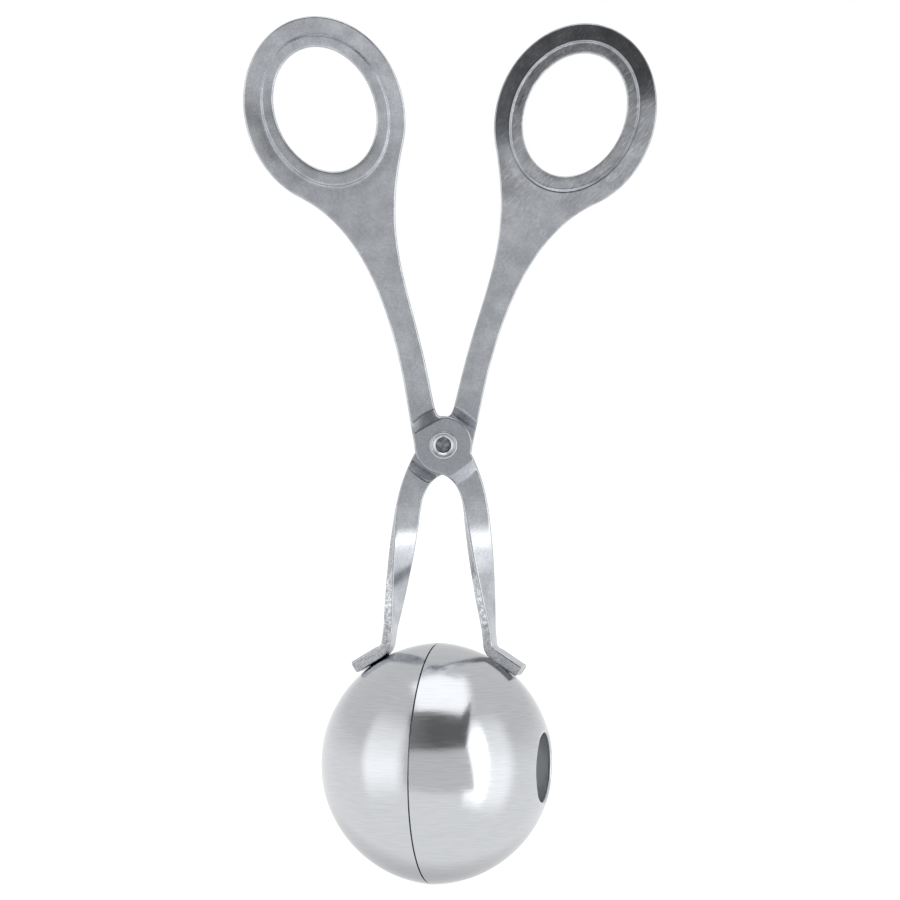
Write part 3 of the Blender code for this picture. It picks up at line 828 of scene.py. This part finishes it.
def flat_sheet():
    """The blank as one flat layer: filled up to the ring's outermost oval, with rows inside it."""
    rows = rim_rows()
    rivet_hole = arc((0, 0), RIVET_HOLE_RADIUS, 0, 2 * math.pi, RIVET_HOLE_STEPS)[:-1]
    loops = (blank_outline(), rivet_hole, rim_oval(rows[0]))
    blank = joined([loop_of(points, "blank") for points in loops])
    select_where(blank, "EDGE", lambda edge: True)
    bpy.ops.mesh.fill(use_beauty=True)
    bpy.ops.object.mode_set(mode="OBJECT")
    places = blank.data.vertices
    on_row = {v.index for v in places if abs(rim_share(v.co, rows[0])[0] - 1) < ROW_MATCH_SHARE}
    select_where(blank, "EDGE", lambda edge: set(edge.vertices) <= on_row)
    for start, end in zip(rows, rows[1:]):
        bpy.ops.mesh.extrude_edges_move()
        bpy.ops.object.mode_set(mode="OBJECT")
        middle, half_width, half_length = rim_frame(end)
        for vertex in blank.data.vertices:
            if vertex.select:
                turn = rim_share(vertex.co, start)[1]
                side, up = oval_point(middle, half_width, half_length, HOLE_TILT, turn)
                vertex.co = (side, up, 0)
        bpy.ops.object.mode_set(mode="EDIT")
    deselect()
    return blank


def round_edges(piece, front):
    """Rounds all edges of the front or back face by insetting it in steps of a quarter circle."""
    heights = [vertex.co.z for vertex in piece.data.vertices]
    level = max(heights) if front else min(heights)
    across, deep = FRONT_EDGE if front else BACK_EDGE
    select_where(piece, "FACE", lambda face: abs(face.center.z - level) < MERGE)
    for i in range(EDGE_STEPS):
        start = math.pi / 2 * i / EDGE_STEPS
        end = math.pi / 2 * (i + 1) / EDGE_STEPS
        bpy.ops.mesh.inset(thickness=across * (math.cos(start) - math.cos(end)),
                           depth=deep * (math.sin(end) - math.sin(start)))
    bpy.ops.object.mode_set(mode="OBJECT")


def cut(piece, place, way, test=lambda face: True, clear=False):
    """Cuts the faces that pass a test by a plane, and if asked deletes what lies behind it."""
    select_where(piece, "FACE", test)
    bpy.ops.mesh.bisect(plane_co=place, plane_no=way, clear_inner=clear, threshold=MERGE)
    bpy.ops.object.mode_set(mode="OBJECT")


def cut_across(piece, place, along, near_disc=False):
    """Adds edges across the blank, square to a direction, so that it can bend there."""
    cut(piece, (place[0], place[1], 0), (along[0], along[1], 0),
        lambda face: not near_disc or face.center.xy.length < JOGGLE_REACH)


def way_of(angle):
    """The direction at an angle in the blank's plane."""
    return Vector((math.cos(angle), math.sin(angle)))


def bend_cuts(piece):
    """Cuts the blank across wherever it is pressed, twisted or bent."""
    start, end = JOGGLE_SPAN
    for angle in (SHANK_JOGGLE_FRONT[0], ARM_JOGGLE_FRONT[0]):
        along = way_of(angle)
        for i in range(JOGGLE_STEPS + 1):
            cut_across(piece, along * (start + (end - start) * i / JOGGLE_STEPS), along, True)
    aside = way_of(SHANK_JOGGLE_FRONT[0] + math.pi / 2)
    for i in range(JOGGLE_SIDE_STEPS + 1):
        place = aside * JOGGLE_SIDE * (2 * i / JOGGLE_SIDE_STEPS - 1)
        cut_across(piece, place, aside, True)
    bend_end = BEND_START + BEND_RADIUS * (FOOT_SWING - ARM_LEAN) * math.cos(ARM_LEAN)
    depths = [TWIST_START + (TWIST_END - TWIST_START) * i / TWIST_STEPS
              for i in range(TWIST_STEPS + 1)]
    depths += [BEND_START + (bend_end - BEND_START) * i / BEND_STEPS
               for i in range(BEND_STEPS + 1)]
    for depth in depths:
        cut_across(piece, (0, -depth), (0, 1))


def eased(share):
    """A share from 0 to 1 that starts and ends softly."""
    share = min(max(share, 0), 1)
    return share * share * (3 - 2 * share)


def ramped(share, soft):
    """A straight slope from 0 to 1 with short soft bends at its ends."""
    share = min(max(share, 0), 1)
    run = 1 - 2 * soft
    if share < 2 * soft:
        return share ** 2 / (4 * soft * run)
    if share > 1 - 2 * soft:
        return 1 - (1 - share) ** 2 / (4 * soft * run)
    return (share - soft) / run


def rim_shift(place):
    """How far a point is pressed forward by the rim around the finger hole and by the band's
    dish, which fades out towards the ring's bottom."""
    middle = Vector(rim_frame(RIM_WIDTH)[0])
    beyond = (Vector(place) - middle).length * (1 - 1 / rim_share(place, RIM_WIDTH)[0])
    width = RING_HALF_WIDTH - HOLE_HALF_WIDTH - RIM_WIDTH - RIM_SLOPE
    lean = ramped((beyond - RIM_SLOPE / 2) / width, BAND_SOFTNESS) * BAND_LEAN
    lean *= eased((place[1] - RING_HEIGHT + RING_HALF_LENGTH) / RING_HALF_LENGTH)
    return RIM_STEP * (1 - eased(beyond / RIM_SLOPE)) + lean


def ring_lean(side, height):
    """How far forward the leaning ring stands at a point of the blank."""
    run = height - RING_LEAN_START + RING_LEAN_SKEW * (side + RING_SIDE)
    if run <= 0:
        return 0
    if run < RING_LEAN_SOFT:
        return math.tan(RING_LEAN) * run ** 2 / (2 * RING_LEAN_SOFT)
    return math.tan(RING_LEAN) * (run - RING_LEAN_SOFT / 2)


def step_share(place, joggle):
    """How far down a joggle's slope a point lies: 0 on the disc, 1 on the strap."""
    angle, start, end = joggle
    gone = way_of(angle).dot(place) - start
    left = end - place.length
    if gone <= 0:
        return 0
    if left <= 0:
        return 1
    return ramped(gone / (gone + left), JOGGLE_SOFTNESS)


def joggle_shift(place, front):
    """How far a point lies in front of the handles' plane: the disc fully, the strap not."""
    if front > 0:
        joggles = (SHANK_JOGGLE_FRONT, ARM_JOGGLE_FRONT)
    else:
        joggles = (SHANK_JOGGLE_BACK, ARM_JOGGLE_BACK)
    return DISC_OFFSET * (1 - max(step_share(place, joggle) for joggle in joggles))


def pressed(side, height, front):
    """Where pressing, twisting and bending take a point of the flat blank.

    Front is how far the point lies in front of the sheet's middle.
    """
    place = Vector((side, height))
    if -height <= TWIST_START:
        forward = rim_shift(place) + ring_lean(side, height) + joggle_shift(place, front)
        return Vector((side, -front - forward, height))
    return twisted(side - arm_middle(-height), -height, front)


def twisted(offset, depth, front):
    """Where twisting and bending take a point of the arm. Offset is how far it lies beside the
    arm's middle."""
    turn = TWIST * min((depth - TWIST_START) / (TWIST_END - TWIST_START), 1)
    across = Vector((math.cos(turn), math.sin(turn), 0))
    outward = Vector((math.sin(turn), -math.cos(turn), 0))
    if depth <= BEND_START:
        middle = Vector((arm_middle(depth), 0, -depth))
        return middle + across * offset + outward * front
    middle, normal, thickened = foot_bend(depth, outward)
    if front > 0:
        front *= thickened
    return middle + across * offset + normal * front


def foot_bend(depth, outward):
    """The middle of the bent foot at a depth of the flat blank, the way in which its outer face
    looks, and how many times as thick it is on that side."""
    run = (depth - BEND_START) / math.cos(ARM_LEAN)
    bend_run = BEND_RADIUS * (FOOT_SWING - ARM_LEAN)
    bend_share = min(run / bend_run, 1)
    swing = ARM_LEAN + (FOOT_SWING - ARM_LEAN) * bend_share
    face = FOOT_SWING * bend_share
    up = Vector((0, 0, 1))
    middle = Vector((arm_middle(BEND_START), 0, -BEND_START))
    middle += outward * BEND_RADIUS * (math.cos(ARM_LEAN) - math.cos(swing))
    middle += up * BEND_RADIUS * (math.sin(ARM_LEAN) - math.sin(swing))
    beyond = max(run - bend_run, 0)
    middle += (outward * math.sin(swing) - up * math.cos(swing)) * beyond
    normal = outward * math.cos(face) + up * math.sin(face)
    return middle, normal, 1 + FOOT_THICKENING * eased(bend_share)


def smooth_shaded(piece):
    """Smooth faces, sharp only at real corners, with the flats kept flat."""
    select(piece)
    bpy.ops.object.shade_smooth_by_angle(angle=SHARP_ANGLE)
    flats = piece.modifiers.new("flats", "WEIGHTED_NORMAL")
    flats.keep_sharp = True
    bpy.ops.object.modifier_apply(modifier=flats.name)


def finish_of(face):
    """Which finish a face of the flat blank has."""
    if abs(face.normal.z) < EDGE_FACING:
        return CUT_EDGE
    if face.normal.z > 0:
        return FRONT
    on_rim = rim_share(face.center, RIM_WIDTH + RIM_SLOPE)[0] < 1
    return BACK_RIM if on_rim else BACK


def stamping(finishes):
    """One lever, cut from the sheet, its edges rounded, then pressed, about its pivot."""
    lever = flat_sheet()
    select(lever)
    bpy.ops.object.mode_set(mode="EDIT")
    bpy.ops.mesh.select_all(action="SELECT")
    bpy.ops.transform.translate(value=(0, 0, BACK_EDGE[1] - SHEET / 2))
    bpy.ops.mesh.extrude_region_move(
        TRANSFORM_OT_translate={"value": (0, 0, SHEET - BACK_EDGE[1] - FRONT_EDGE[1])})
    bpy.ops.mesh.select_all(action="SELECT")
    bpy.ops.mesh.normals_make_consistent(inside=False)
    bpy.ops.object.mode_set(mode="OBJECT")
    round_edges(lever, True)
    round_edges(lever, False)
    bend_cuts(lever)
    for finish in finishes:
        lever.data.materials.append(finish)
    for face in lever.data.polygons:
        face.material_index = finish_of(face)
    for vertex in lever.data.vertices:
        vertex.co = pressed(*vertex.co)
    smooth_shaded(lever)
    return lever


def placed_levers():
    """Both levers: the rear one is the front one turned half a turn about the upright axis."""
    back = die_scratched_steel("die_scratched_stainless_steel", *BACK_SCRATCHES)
    rim = die_scratched_steel("scored_rim_stainless_steel", *RIM_SCRATCHES)
    front = stamping((satin_stamped_steel(), sheared_steel(), back, rim))
    rear = front.copy()
    rear.data = front.data.copy()
    bpy.context.scene.collection.objects.link(rear)
    front.name = "front_lever_stamping"
    rear.name = "rear_lever_stamping"
    front.data.transform(Matrix.Translation(PIVOT))
    rear.data.transform(Matrix.Translation(PIVOT) @ Matrix.Rotation(math.pi, 4, "Z"))
    for lever, body, node in ((front, "front_half", "front_lever"),
                              (rear, "rear_half", "rear_lever")):
        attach(lever, body)
        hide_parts(node)


def drawn_in(place, hole_angle):
    """Where a point of the cup goes when its pole hole is punched: the hole is a little ragged,
    and its edge is drawn inwards."""
    turn = math.atan2(place.y, place.x)
    off_pole = math.acos(min(place.z / CUP_RADIUS, 1))
    beyond = (off_pole - hole_angle) * CUP_RADIUS
    ragged = sum(share * math.sin(count * turn + start) for count, start, share in HOLE_WAVES)
    fade = max(1 - beyond / HOLE_FADE, 0)
    off_pole += fade ** 2 * HOLE_RAGGEDNESS * ragged / HOLE_WAVE_SUM / CUP_RADIUS
    run = min(max(1 - beyond / HOLE_DRAW_WIDTH, 0), 1)
    sunk = HOLE_DRAW_DEPTH * (1 - math.sqrt(1 - run ** 2))
    flat = CUP_RADIUS * math.sin(off_pole)
    return Vector((flat * math.cos(turn), flat * math.sin(turn),
                   CUP_RADIUS * math.cos(off_pole) - sunk))


def cup(name, finishes):
    """Half of the ball, spun from thin sheet, about its centre with its pole at +Z."""
    deselect()
    bpy.ops.mesh.primitive_uv_sphere_add(segments=CUP_SEGMENTS, ring_count=CUP_RINGS,
                                         radius=CUP_RADIUS)
    half = bpy.context.object
    half.name = name
    pole_height = math.sqrt(CUP_RADIUS ** 2 - POLE_HOLE_RADIUS ** 2)
    cut(half, (0, 0, CUP_SHORTFALL), (0, 0, 1), clear=True)
    cut(half, (0, 0, pole_height), (0, 0, -1), clear=True)
    hole_angle = math.asin(POLE_HOLE_RADIUS / CUP_RADIUS)
    for i in range(1, HOLE_DRAW_STEPS):
        angle = hole_angle + HOLE_DRAW_WIDTH / CUP_RADIUS * i / HOLE_DRAW_STEPS
        cut(half, (0, 0, CUP_RADIUS * math.cos(angle)), (0, 0, 1))
    for vertex in half.data.vertices:
        vertex.co = drawn_in(vertex.co, hole_angle)
    for finish in finishes:
        half.data.materials.append(finish)
    give_wall(half)
    return half


def give_wall(half):
    """Gives a cup its wall, with the second finish inside, and rounds its rims."""
    select(half)
    wall = half.modifiers.new("wall", "SOLIDIFY")
    wall.thickness = CUP_WALL
    wall.offset = -1
    wall.material_offset = 1
    bpy.ops.object.modifier_apply(modifier=wall.name)
    rim = half.modifiers.new("rim", "BEVEL")
    rim.width = CUP_RIM_ROUND
    rim.segments = CUP_RIM_STEPS
    rim.limit_method = "ANGLE"
    rim.angle_limit = CUP_RIM_ANGLE
    bpy.ops.object.modifier_apply(modifier=rim.name)
    bpy.ops.object.shade_smooth_by_angle(angle=CUP_SHARP_ANGLE)


def placed_cups():
    """Both cups of the closed ball."""
    finishes = (level_polished_steel(), raw_spun_steel())
    for name, turn, body, node in (
            ("right_cup_shell", -CUP_TURN, "front_half", "right_cup"),
            ("left_cup_shell", math.pi - CUP_TURN, "rear_half", "left_cup")):
        half = cup(name, finishes)
        aside = Matrix.Translation((0, 0, CUP_CENTRE_SIDE))
        lay = Matrix.Rotation(turn, 4, "Z") @ Matrix.Rotation(math.pi / 2, 4, "Y")
        half.data.transform(Matrix.Translation(BALL) @ lay @ aside)
        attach(half, body)
        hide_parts(node)


def rivet_profile():
    """Half of the rivet's section, from the bore's floor over the rolled rim to the head."""
    top = STACK_HALF + ROLL_HEIGHT
    floor_level = top - BORE_DEPTH
    quarter = math.pi / 2
    profile = [(0, floor_level), (FLOOR_RADIUS / 2, floor_level)]
    profile += arc((FLOOR_RADIUS - FLOOR_ROUND, floor_level + FLOOR_ROUND), FLOOR_ROUND,
                   -quarter, 0, ROLL_STEPS // 2)
    flare = arc((FLARE_END, top - FLARE_DROP - FLARE_ROUND), FLARE_ROUND,
                quarter + FLARE_SLOPE, 0, ROLL_STEPS)
    fall = (flare[0][0] - MOUTH_RADIUS) * math.tan(FLARE_SLOPE)
    profile += [(MOUTH_RADIUS, flare[0][1] - fall)] + flare
    base = top - ROLL_OUTER_HALF * ROLL_FLATNESS
    ridge = arc((ROLL_RADIUS - ROLL_OUTER_HALF, 0), ROLL_OUTER_HALF, math.pi, 0, ROLL_STEPS)
    profile += [(radius, base + rise * ROLL_FLATNESS) for radius, rise in ridge]
    profile += [(ROLL_RADIUS, STACK_HALF), (RIVET_RADIUS, STACK_HALF),
                (RIVET_RADIUS, -STACK_HALF), (HEAD_RADIUS, -STACK_HALF)]
    for i in range(ROLL_STEPS + 1):
        angle = quarter * i / ROLL_STEPS
        dome = (HEAD_HEIGHT - HEAD_RIM) * math.sin(angle)
        profile.append((HEAD_RADIUS * math.cos(angle), -STACK_HALF - HEAD_RIM - dome))
    profile[-1] = (0, -STACK_HALF - HEAD_HEIGHT)
    return profile


def rivet():
    """The rivet: its profile spun about its axis, with the bore in its own finish."""
    profile = rivet_profile()
    mesh = bpy.data.meshes.new("rivet")
    mesh.from_pydata([(radius, 0, height) for radius, height in profile],
                     [(i, i + 1) for i in range(len(profile) - 1)], [])
    pin = bpy.data.objects.new("rolled_rivet", mesh)
    bpy.context.scene.collection.objects.link(pin)
    select(pin)
    bpy.ops.object.mode_set(mode="EDIT")
    bpy.ops.mesh.select_all(action="SELECT")
    bpy.ops.mesh.spin(steps=RIVET_SPIN_STEPS, angle=2 * math.pi, center=(0, 0, 0), axis=(0, 0, 1))
    bpy.ops.mesh.select_all(action="SELECT")
    bpy.ops.mesh.remove_doubles(threshold=MERGE)
    bpy.ops.mesh.normals_make_consistent(inside=False)
    bpy.ops.object.mode_set(mode="OBJECT")
    bpy.ops.object.shade_smooth_by_angle(angle=SHARP_ANGLE)
    for finish in RIVET_FINISHES:
        pin.data.materials.append(rivet_steel(*finish))
    for face in pin.data.polygons:
        reach = math.hypot(face.center.x, face.center.y)
        in_bore = face.center.z > 0 and reach < MOUTH_RADIUS * BORE_SHARE
        face.material_index = 1 if in_bore else 0
    pin.data.transform(Matrix.Translation(PIVOT) @ Matrix.Rotation(math.pi / 2, 4, "X"))
    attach(pin, "front_half")
    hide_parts("pivot_rivet")


bpy.context.scene.view_settings.view_transform = "Standard"
camera()
world()
for values in SOFTBOXES:
    softbox(*values)
for values in CARDS:
    card(*values)
floor()
placed_levers()
placed_cups()
rivet()
